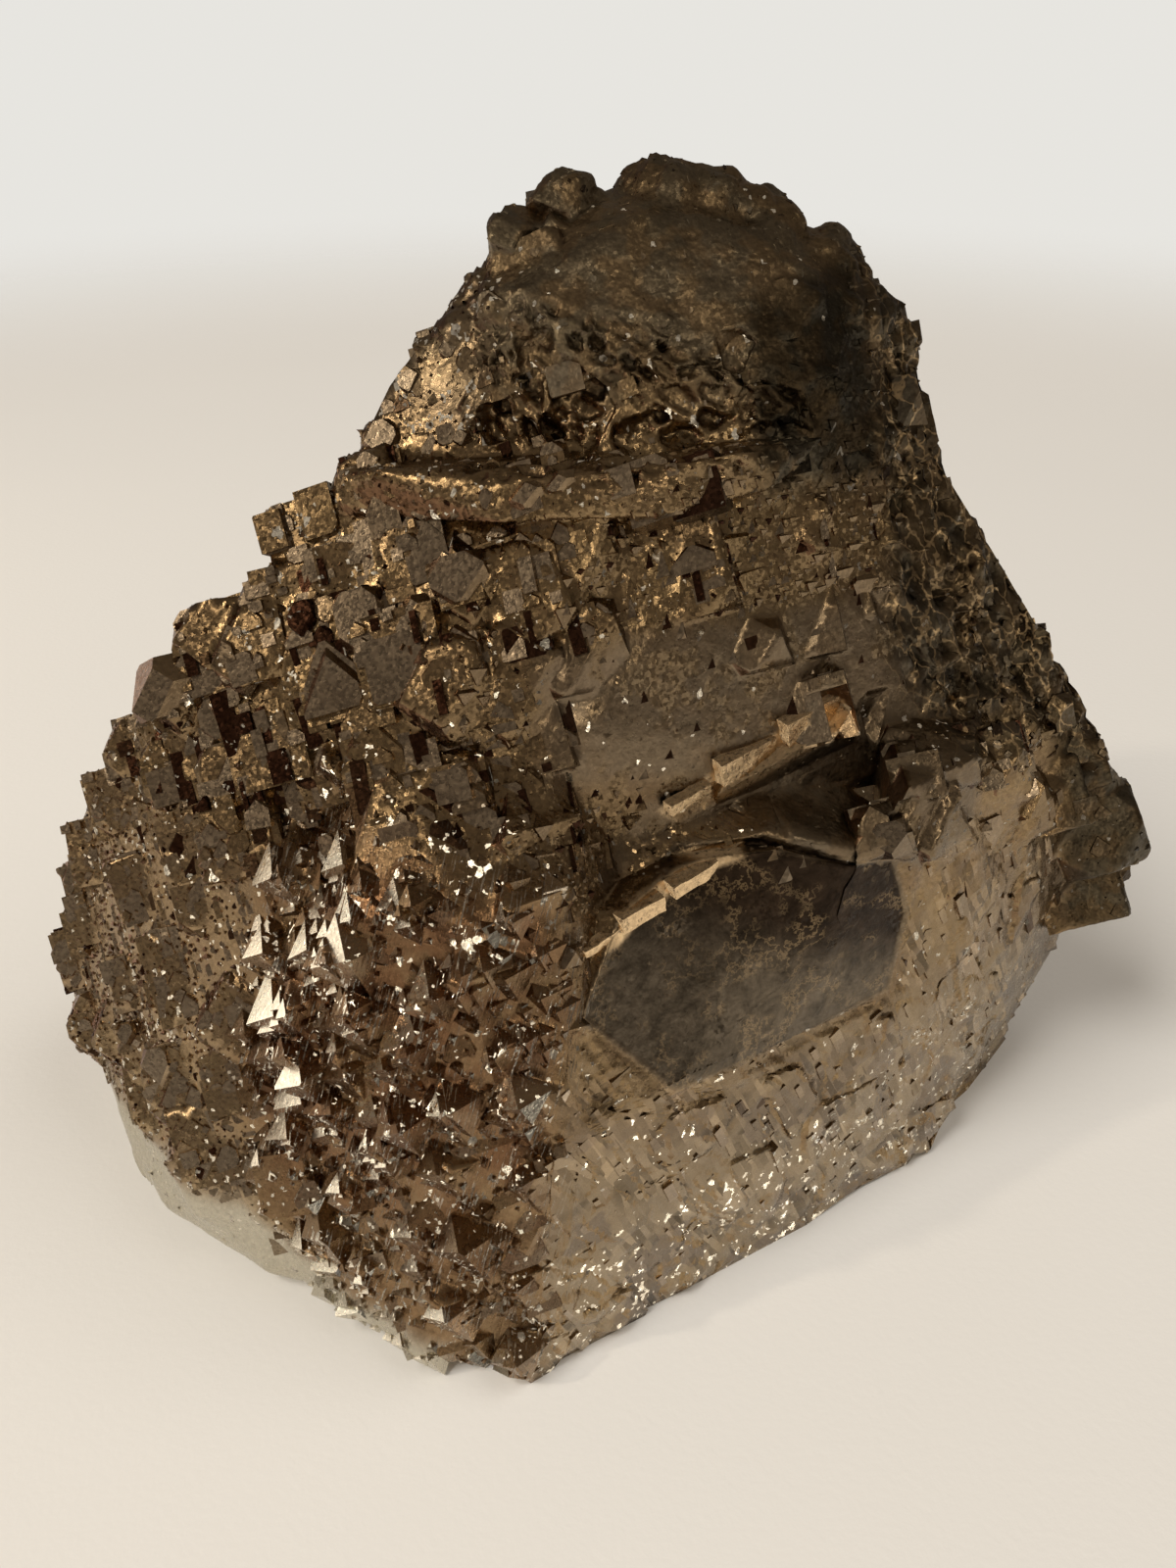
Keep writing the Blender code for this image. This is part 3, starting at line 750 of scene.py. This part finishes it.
class Shader:
    """A material's nodes, made by type, settings and inputs."""

    def __init__(self, name):
        self.material = bpy.data.materials.new(name)
        self.material.use_nodes = True
        self.tree = self.material.node_tree
        self.surface = self.tree.nodes["Principled BSDF"]
        self.place = self.node("TexCoord").outputs["Object"]
        self.mm = self.vector("SCALE", self.place, scale=1 / MM)

    def node(self, kind, settings=None, inputs=None):
        made = self.tree.nodes.new("ShaderNode" + kind)
        for name, value in (settings or {}).items():
            setattr(made, name, value)
        self.join(made, inputs or {})
        return made

    def feed(self, socket, value):
        """Joins a wire or a socket to an input, or sets a constant on it."""
        value = getattr(value, "socket", value)
        if isinstance(value, bpy.types.NodeSocket):
            self.tree.links.new(value, socket)
        else:
            socket.default_value = value

    def join(self, made, inputs):
        for key, value in inputs.items():
            self.feed(made.inputs[key], value)

    def number(self, kind, output, settings=None, inputs=None):
        return Wire(self, self.node(kind, settings, inputs).outputs[output])

    def attribute(self, name):
        return self.number("Attribute", "Fac", {"attribute_name": name})

    def vector(self, operation, first, second=(0, 0, 0), scale=1.0):
        inputs = {0: first, 1: second, 3: scale}
        return self.node("VectorMath", {"operation": operation}, inputs).outputs["Vector"]

    def mixed(self, kind, factor, first, second, how="MIX"):
        made = self.node("Mix", {"data_type": kind, "blend_type": how}, {"Factor": factor})
        slots = [s for s in made.inputs if s.type == kind and s.name in "AB"]
        self.feed(slots[0], first)
        self.feed(slots[1], second)
        return next(s for s in made.outputs if s.type == kind)

    def blend(self, factor, first, second, how="MIX"):
        """Two colours mixed."""
        pair = [c if isinstance(c, bpy.types.NodeSocket) else (*c, 1) for c in (first, second)]
        return self.mixed("RGBA", factor, *pair, how)

    def along(self, vector, direction):
        """A vector's length along a direction."""
        return self.number("VectorMath", "Value", {"operation": "DOT_PRODUCT"}, {
            0: vector, 1: tuple(direction)})

    def clouds(self, scale, detail=4.0, rough=0.62, warp=0.0, where=None):
        return self.number("TexNoise", "Fac", None, {
            "Vector": where or self.mm, "Scale": scale, "Detail": detail, "Roughness": rough,
            "Distortion": warp})

    def point(self, x, y, z):
        return self.node("CombineXYZ", None, {0: x, 1: y, 2: z}).outputs[0]

    def drawn_out(self, *lines):
        """The place in mm along three lines, for patterns that are drawn out along them."""
        return self.point(*(self.along(self.mm, line) for line in lines))

    def cells(self, place, scale=1.0, distance="CHEBYCHEV", randomness=0.9):
        """Angular cells: the colour of each, which is random, and its three parts."""
        made = self.node("TexVoronoi", {"distance": distance},
                         {"Vector": place, "Scale": scale, "Randomness": randomness})
        parts = self.node("SeparateColor", None, {0: made.outputs["Color"]})
        return made.outputs["Color"], [Wire(self, part) for part in parts.outputs]


def lattice_line(x, y, z):
    """A line of the shared lattice, in the frame."""
    return LATTICE @ Vector((x, y, z)).normalized()


def pyrite_finish(name, facet_size, tilt):
    """Tarnished pyrite: facets tinted by their lattice face, with growth lines and cells."""
    look = bpy.context.scene.pyrite_finish
    s = Shader(name)
    mm = s.mm
    geometry = s.node("NewGeometry")
    u, v, w = (s.along(mm, axis) for axis in LATTICE.col)
    (tarnish, rust, nose, octagon, slope, gilding, paleness, smoothness, sugar, glitter, dim, hollow,
     grain) = map(s.attribute, FINISH_NAMES)

    def facing(direction, low=0.82, high=0.95):
        """How far the surface looks along a direction."""
        return s.along(geometry.outputs["True Normal"], direction).rise(low, high)

    def astray(colour, share):
        """A small vector with a cell's own direction."""
        return s.vector("SCALE", s.vector("SUBTRACT", colour, (0.5, 0.5, 0.5)), scale=share)

    # Which lattice face the surface belongs to.
    flat = facing(LATTICE.col[2], 0.88, 0.97)
    wall = facing(WALL_FACING, 0.86, 0.97)
    upper, lower, left = (facing(lattice_line(*to)) for to in ((-1, 1, 1), (1, -1, 1), (-1, -1, 1)))

    # Cells of slightly different growth, patches of tarnish, and patches of sugary grains.
    cell_colour, (tone, lot, draw) = s.cells(s.point(u, v, w), 1 / facet_size)
    patch = s.clouds(0.16)
    fine = s.clouds(1.7, 3, 0.65)
    clean = grain.rise(0.42, 0.46) * (1 - paleness)
    granular = (s.clouds(0.21, 3) + 0.25 * (sugar - 0.5)).rise(0.45, 0.54) * (1 - flat * 0.6)
    granular = granular * (1 - clean * 0.8) * (1 - nose * 0.6)
    # Small glints and larger flashes, in crowds: cells painted near white as highlights.
    crowd = s.clouds(0.35, 1).rise(0.48, 0.64)
    flash = s.cells(s.point(u * 0.9, v * 1.3, w * 1.5), 1, "MANHATTAN", 1)[1][0]
    glint = (lot + glitter * (0.01 + 0.13 * crowd)).greater(RARE)
    glint = glint.largest((flash + glitter * 0.12 * crowd).greater(RARE))
    glint = glint * (1 - octagon) * (1 - hollow) * (1 - clean * (1 - nose))
    # Strokes along one lattice line of the wall, and near-vertical growth lines on the nose.
    stroke_colour, (stroke, _, _) = s.cells(s.point(
        s.along(mm, lattice_line(-1, 0, 1)) * 0.24, s.along(mm, lattice_line(-1, 2, -1)),
        s.along(mm, WALL_FACING) * 0.5))
    brushed = s.clouds(0.12, 2).rise(0.47, 0.56)
    on_wall = wall * (paleness - smoothness).rise(0, 0.2)
    comb = s.clouds(1, 3, 0.7, where=s.point(
        s.along(mm, (0.96, 0, -0.28)) * 4.2, s.along(mm, (0.28, 0, 0.96)) * 0.22, w * 0.4))
    # The brightest of the nose's growth lines are painted near white as streaks of glint.
    streak = comb.rise(0.58, 0.6) * nose * patch.rise(0.42, 0.52) * (1 - flat)

    # Colour, as tints laid over one another.
    patches = s.clouds(0.1, 2, 0.55).rise(0.53, 0.56).largest(grain.rise(0.8, 0.82)) * 0.8
    riser = (1 - grain.rise(0.09, 0.11)) * (1 - nose) * (1 - paleness)
    elsewhere = s.vector("ADD", mm, (40, 0, 0))
    dull = s.blend(s.clouds(0.22, 2, where=elsewhere).rise(0.44, 0.56), look.olive, look.moss)
    # Painted highlights on the nose: tip faces turned to the low card, a few turned along the wall, and the
    # bright streaks are coloured near white.
    bright = (left * grain.rise(0.4, 0.45)).largest(wall * grain.rise(0.88, 0.885)) * nose
    bright = bright.largest(streak)
    colour = look.brown
    for share, tint in (
        (patch.rise(0.38, 0.62), look.golden),
        ((0.4 + 0.5 * flat) * clean, look.lavender),
        (smoothness * 0.6, look.lavender),
        (wall * paleness, s.blend(patches, look.beige, look.lilac)),
        ((upper * 0.4).largest(granular * 0.5) * (1 - 0.8 * on_wall), look.golden),
        # Faces turned left and down are tinted dark red: partly the red tarnish of the step sides, partly
        # painted shade and reflection of the dim room.
        ((left * 0.9).largest(lower * 0.7) * (1 - paleness) * (1 - nose), look.dark_red),
        (riser, look.dark_red),
        (rust * (0.35 + 0.55 * nose) * patch.rise(0.3, 0.6), look.rust),
        (tarnish * 0.85 * (1 - octagon), dull),
        (paleness * smoothness, look.cream),
        # The eight-sided face goes from slate grey to black toward its top right.
        (octagon, s.blend(tarnish.rise(0.6, 0.9), look.slate, look.black)),
        (gilding * 0.95 * fine.rise(0.3, 0.45), look.gilt),
        # Painted highlights: the glints and the bright tip faces are coloured near white.
        (bright.largest(glint), look.painted_highlight_white),
    ):
        colour = s.blend(share, colour, tint)

    # Light and dark over all of them, with painted shade in the hollows of the pits and in pitted cells of
    # the wall.
    drift_lines = ((0.14, 0, 0.02), (0, 0.3, 0), (-0.1, 0, 0.75))
    drift = s.clouds(1, 4, 0.7, where=s.drawn_out(*drift_lines))
    marble = s.clouds(0.3, 4, 0.68, 0.8)
    matte = tarnish * (1 - slope) * (1 - octagon)
    mottled = 0.3 * (tone - 0.5) * (1 - smoothness * 0.7) + 0.6 * (fine - 0.5)
    # A few cells of the wall are darkened as painted shade of small pits; the rest of the strokes vary in
    # tone.
    pitted = on_wall * (stroke.rise(0.975, 0.98) * 0.4 + (0.5 - stroke) * (0.18 + 0.75 * brushed))
    # The painted highlights and the golden ledges are kept out of the dimming.
    shaded = dim * (1 - bright.largest(glint).largest(gilding))
    lightness = 0.84 + 0.25 * grain + 0.5 * on_wall * (grain - 0.5)
    lightness = lightness + mottled * (1 - 0.8 * on_wall) * (1 - 0.5 * nose) + 1.1 * matte * (drift - 0.5)
    lightness = lightness * (1 - 0.62 * riser) + 2.2 * octagon * (marble - 0.5)
    # Painted shade: the hollows are darkened, and so are the pitted cells of the wall.
    lightness = lightness * (1 - pitted) * (1 - hollow * 0.75) * (1 - shaded)
    colour = s.blend(1, colour, s.point(lightness, lightness, lightness), "MULTIPLY")

    # Veins: wisps on the dark eight-sided face, and a network of golden ridges on the right slope.
    wisps = 0.45 * (1 - (2 * s.clouds(0.42, 4, 0.7) - 1).size().rise(0, 0.09)) * octagon
    wisps = wisps * s.clouds(0.2, 1).rise(0.45, 0.6)
    along_slope = s.drawn_out((1.008, 0, 0.648), (0, 1, 0), (0.3348, 0, -0.5208))
    wander = s.node("TexNoise", None, {"Vector": mm, "Scale": 0.5, "Detail": 2}).outputs[1]
    net = s.number("TexVoronoi", "Distance", {"feature": "DISTANCE_TO_EDGE"}, {
        "Vector": s.vector("ADD", along_slope, s.vector("SCALE", wander, scale=2.6)), "Scale": 0.32})
    ridges = (1 - net.rise(0.015, 0.06)) * slope * (1 - hollow * 0.4)
    vein = wisps.largest(ridges * (0.4 + 0.6 * patch.rise(0.4, 0.55)))
    colour = s.blend(vein * 0.7, colour, look.vein)

    # Growth lines and grit in relief. Small grains in the sugary patches and in the streaks are faces
    # of the lattice too, so their normals turn to those of its faces.
    height = 0.1 * comb * nose * (1 - bright) + 0.05 * fine + 0.9 * matte * patch
    lean = tilt * (0.2 + 1.8 * granular) * (1 - 0.6 * on_wall.largest(nose))
    leaning = s.vector("ADD", astray(cell_colour, lean), astray(stroke_colour, on_wall * 0.14))
    leaning = s.vector("ADD", leaning, geometry.outputs["Normal"])
    sugary = (granular * (1 - draw.rise(0.03, 0.05))).largest(gilding)
    # The painted glints turn their normals toward a lamp, and the painted tip faces toward the low card.
    lit = s.mixed("VECTOR", on_wall, GLINT_FACING, WALL_GLINT_FACING)
    for share, to in ((bright * 0.8, TIP_FACING), (sugary * 0.8, tuple(WALL_FACING)), (glint * 0.95, lit)):
        leaning = s.mixed("VECTOR", share, leaning, to)
    bump = s.node("Bump", None, {
        "Height": height, "Distance": 1 * MM, "Normal": s.vector("NORMALIZE", leaning)})

    roughness = look.roughness + 0.15 * (lot - 0.5) + 0.2 * (fine - 0.5) + 0.12 * tarnish + 0.08 * matte
    s.join(s.surface, {
        "Base Color": colour, "Metallic": 1, "Roughness": roughness.largest(0.12),
        "Normal": bump.outputs[0]})
    return s.material


# Settings


def colour(name, description, default):
    return FloatVectorProperty(name=name, description=description, subtype="COLOR", default=default)


def amount(name, description, default, subtype="NONE", unit="NONE"):
    return FloatProperty(name=name, description=description, default=default, subtype=subtype, unit=unit)


class PyriteForm(PropertyGroup):
    """Sizes of the specimen's detail."""
    edge_length: amount("Edge length", "Longest edge of the body's mesh", 1.3 * MM, "DISTANCE", "LENGTH")
    sharp_angle: amount("Sharp angle", "Edges that turn more are crisp", math.radians(28), "ANGLE")
    mosaic_tilt: amount("Mosaic tilt", "How far crystals lean from the lattice", math.radians(2.6), "ANGLE")
    hillock: amount("Hillock pitch", "Width in mm of the swells of growth", 7.0)
    surface_area: amount("Surface", "Surface of the frame in square mm", 70000.0)


class PyriteFinish(PropertyGroup):
    """Colours of the tarnished metal."""
    brown: colour("Brown", "Brown tarnish", (0.33, 0.225, 0.125))
    golden: colour("Golden", "Golden-brown metal", (0.4, 0.28, 0.148))
    lavender: colour("Lavender grey", "Flat cube faces", (0.36, 0.286, 0.208))
    beige: colour("Beige", "The octahedral wall", (0.425, 0.341, 0.238))
    olive: colour("Olive", "Dark tarnish of the crown", (0.2, 0.145, 0.085))
    moss: colour("Moss", "Greenish-grey tarnish of the crown", (0.15, 0.135, 0.1))
    lilac: colour("Lilac", "Greyer patches of the wall", (0.285, 0.232, 0.182))
    dark_red: colour("Dark red", "Step sides", (0.175, 0.075, 0.043))
    rust: colour("Rust", "Red-brown film of the nose", (0.22, 0.115, 0.06))
    # Painted highlight colour: near white, for the glints and the bright faces of the nose's tips.
    painted_highlight_white: colour("Fresh", "Untarnished tips", (0.95, 0.9, 0.8))
    cream: colour("Cream", "Clean smooth faces at the foot", (0.6, 0.555, 0.45))
    slate: colour("Slate", "Grey side of the eight-sided face", (0.155, 0.125, 0.09))
    black: colour("Black", "Dark side of the eight-sided face", (0.04, 0.027, 0.018))
    vein: colour("Vein", "Pale veins and ridges", (0.6, 0.43, 0.24))
    gilt: colour("Gilt", "Bright golden ledges", (0.9, 0.66, 0.39))
    roughness: amount("Roughness", "Mean roughness of the faces", 0.3)


class PyriteStage(PropertyGroup):
    """Camera, floor and lights."""
    lens: amount("Lens", "Focal length in mm", 32.0)
    paper: colour("Paper", "Colour of the floor", (0.8, 0.775, 0.735))
    room: colour("Room", "Dim light of the room", (0.165, 0.14, 0.115))
    background: colour("Background", "Pale background", (0.8, 0.785, 0.745))
    key_power: amount("Key light", "Strength of the soft light", 1.9)
    fill_power: amount("Fill light", "Strength of the light from the right", 0.8)
    lamp_power: amount("Lamp", "Power of the small warm lamp", 0.8)
    card_power: amount("Card", "Power of the low white card at the left", 0.14)


# Operators


def grow_operator(piece_name, seed):
    """An operator class that grows one piece of crystals."""
    label = piece_name.replace("_", " ").capitalize()

    def execute(self, context):
        place_piece(piece_name, grow_piece(piece_name, seed), CRYSTAL_FINISH)
        return {"FINISHED"}

    return type("PYRITE_OT_" + piece_name, (Operator,), {
        "__doc__": label, "bl_idname": "pyrite." + piece_name, "bl_label": label, "execute": execute})


class PYRITE_OT_body(Operator):
    """Makes the body with its fine relief, in place of the plain frame"""
    bl_idname = "pyrite.body"
    bl_label = "Body"

    def execute(self, context):
        piece = place_piece("pyrite_body", body_mesh(), BODY_FINISH)
        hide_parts(NODE)
        return {"FINISHED"}


class PYRITE_OT_gilt_ledges(Operator):
    """Makes the bright golden ledges beside the eight-sided face"""
    bl_idname = "pyrite.gilt_ledges"
    bl_label = "Gilt ledges"

    def execute(self, context):
        bm = bmesh.new()
        line = LEDGE_LINE.normalized()
        outward = (WALL_FACING - line * WALL_FACING.dot(line)).normalized()
        frame_axes = Matrix((line, outward.cross(line), outward)).transposed()
        for number, (middle, length, height, thickness) in enumerate(GILT_LEDGES):
            lean = Matrix.Rotation(math.radians(3 * math.sin(5.0 * number)), 3, outward)
            place = Matrix.Translation(Vector(middle) * MM) @ (lean @ frame_axes).to_4x4()
            shape = place @ Matrix.Diagonal((length, height, thickness, 1))
            made = bmesh.ops.create_cube(bm, size=2 * MM, matrix=shape)
            edges = dict.fromkeys(e for v in made["verts"] for e in v.link_edges)
            bmesh.ops.subdivide_edges(bm, edges=list(edges), cuts=5, use_grid_fill=True)
        noise.seed_set(LEDGE_SEED)
        for vert in bm.verts:
            vert.co += Vector(noise.noise_vector(vert.co / LEDGE_WEAR_PITCH)) * LEDGE_WEAR
        bmesh.ops.recalc_face_normals(bm, faces=bm.faces)
        mesh = mesh_from(bm, "gilt_ledges")
        count = len(mesh.vertices)
        set_attributes(mesh, {"gilding": np.ones(count), "grain": np.full(count, 0.5)})
        place_piece("gilt_ledges", mesh, CRYSTAL_FINISH)
        return {"FINISHED"}


class PYRITE_OT_stage(Operator):
    """Makes the floor, the lights and the camera"""
    bl_idname = "pyrite.stage"
    bl_label = "Stage"

    def execute(self, context):
        stage = context.scene.pyrite_stage
        make_floor(stage)
        make_room(context.scene, stage)
        make_light("key_light", (-0.55, -0.45, 1.0), stage.key_power, spread=math.radians(24))
        make_light("fill_light", (0.6, -0.1, 1.0), stage.fill_power, spread=math.radians(40))
        make_light("warm_lamp", (-0.52, -0.24, 0.43), stage.lamp_power, size=0.03)
        make_light("front_lamp", (0.1, -0.62, 0.36), stage.lamp_power * 0.6, size=0.02)
        make_light("low_card", (-0.38, 0.16, 0.075), stage.card_power, size=0.18)
        make_camera(context.scene, stage)
        return {"FINISHED"}


def make_floor(stage):
    """A round sheet of paper that fades into the background at its rim."""
    bm = bmesh.new()
    bmesh.ops.create_circle(bm, cap_ends=True, segments=96, radius=FLOOR_RADIUS)
    mesh = mesh_from(bm, "paper_floor")
    if mesh.polygons[0].normal.z < 0:
        mesh.flip_normals()
    floor = add_object("paper_floor", mesh)
    s = Shader("paper")
    cloud = s.clouds(5.0, 3.0, 0.5, where=s.place)
    fibre = s.clouds(900.0, 2.0, 0.5, where=s.place)
    reach = s.number("VectorMath", "Value", {"operation": "LENGTH"}, {0: s.place})
    dark = tuple(c * 0.95 for c in stage.paper)
    bump = s.node("Bump", None, {"Height": fibre, "Distance": 0.05 * MM})
    s.join(s.surface, {
        "Base Color": s.blend(cloud, dark, stage.paper), "Roughness": 0.85, "Normal": bump.outputs[0],
        "Alpha": 1 - reach.rise(FLOOR_RADIUS * 0.55, FLOOR_RADIUS)})
    mesh.materials.append(s.material)


def make_room(scene, stage):
    """Dim room for the reflections, and a pale background where nothing else is behind."""
    world = bpy.data.worlds.new("studio")
    scene.world = world
    world.use_nodes = True
    tree = world.node_tree
    tree.nodes.clear()
    output, both, seen, *glows = (tree.nodes.new("ShaderNode" + kind) for kind in (
        "OutputWorld", "MixShader", "LightPath", "Background", "Background"))
    for number, (glow, colour) in enumerate(zip(glows, (stage.room, stage.background)), 1):
        glow.inputs["Color"].default_value = (*colour, 1)
        tree.links.new(glow.outputs[0], both.inputs[number])
    tree.links.new(seen.outputs["Is Camera Ray"], both.inputs[0])
    tree.links.new(both.outputs[0], output.inputs["Surface"])


def make_light(name, place, power, size=0, spread=0):
    """A small warm lamp that glints on facets or, with a spread, a sun that leaves no shape in them."""
    data = bpy.data.lights.new(name, "SUN" if spread else "AREA")
    data.energy = power
    data.color = SUN_COLOUR if spread else LAMP_COLOUR
    if spread:
        data.angle = spread
    else:
        data.shape = "DISK"
        data.size = size
    light = add_object(name, data)
    light.location = place
    light.rotation_euler = (LIT_SPOT - Vector(place)).to_track_quat("-Z", "Y").to_euler()
    light.visible_glossy = not spread
    light.visible_camera = False


def make_camera(scene, stage):
    data = bpy.data.cameras.new("camera")
    data.lens = stage.lens
    data.clip_start = 0.005
    camera = add_object("camera", data)
    camera.location = EYE
    camera.rotation_euler = (TARGET - EYE).to_track_quat("-Z", "Y").to_euler()
    scene.camera = camera
    scene.view_settings.view_transform = "Standard"


class PYRITE_PT_panel(Panel):
    """Lists the specimen's pieces"""
    bl_idname = "PYRITE_PT_panel"
    bl_label = "Pyrite Specimen"
    bl_space_type = "VIEW_3D"
    bl_region_type = "UI"
    bl_category = "Pyrite"

    def draw(self, context):
        for kind in OPERATORS:
            self.layout.operator(kind.bl_idname)


GROWERS = [grow_operator(name, seed) for seed, name in enumerate(PIECES, 1)]
OPERATORS = [PYRITE_OT_body, *GROWERS, PYRITE_OT_gilt_ledges, PYRITE_OT_stage]
SETTINGS = {"pyrite": PyriteForm, "pyrite_finish": PyriteFinish, "pyrite_stage": PyriteStage}
CLASSES = (*SETTINGS.values(), *OPERATORS, PYRITE_PT_panel)


def register():
    for kind in CLASSES:
        bpy.utils.register_class(kind)
    for name, kind in SETTINGS.items():
        setattr(bpy.types.Scene, name, PointerProperty(type=kind))


def unregister():
    for name in SETTINGS:
        delattr(bpy.types.Scene, name)
    for kind in reversed(CLASSES):
        bpy.utils.unregister_class(kind)


def main():
    register()
    for kind in OPERATORS:
        space, name = kind.bl_idname.split(".")
        getattr(getattr(bpy.ops, space), name)()


if __name__ == "__main__":
    main()
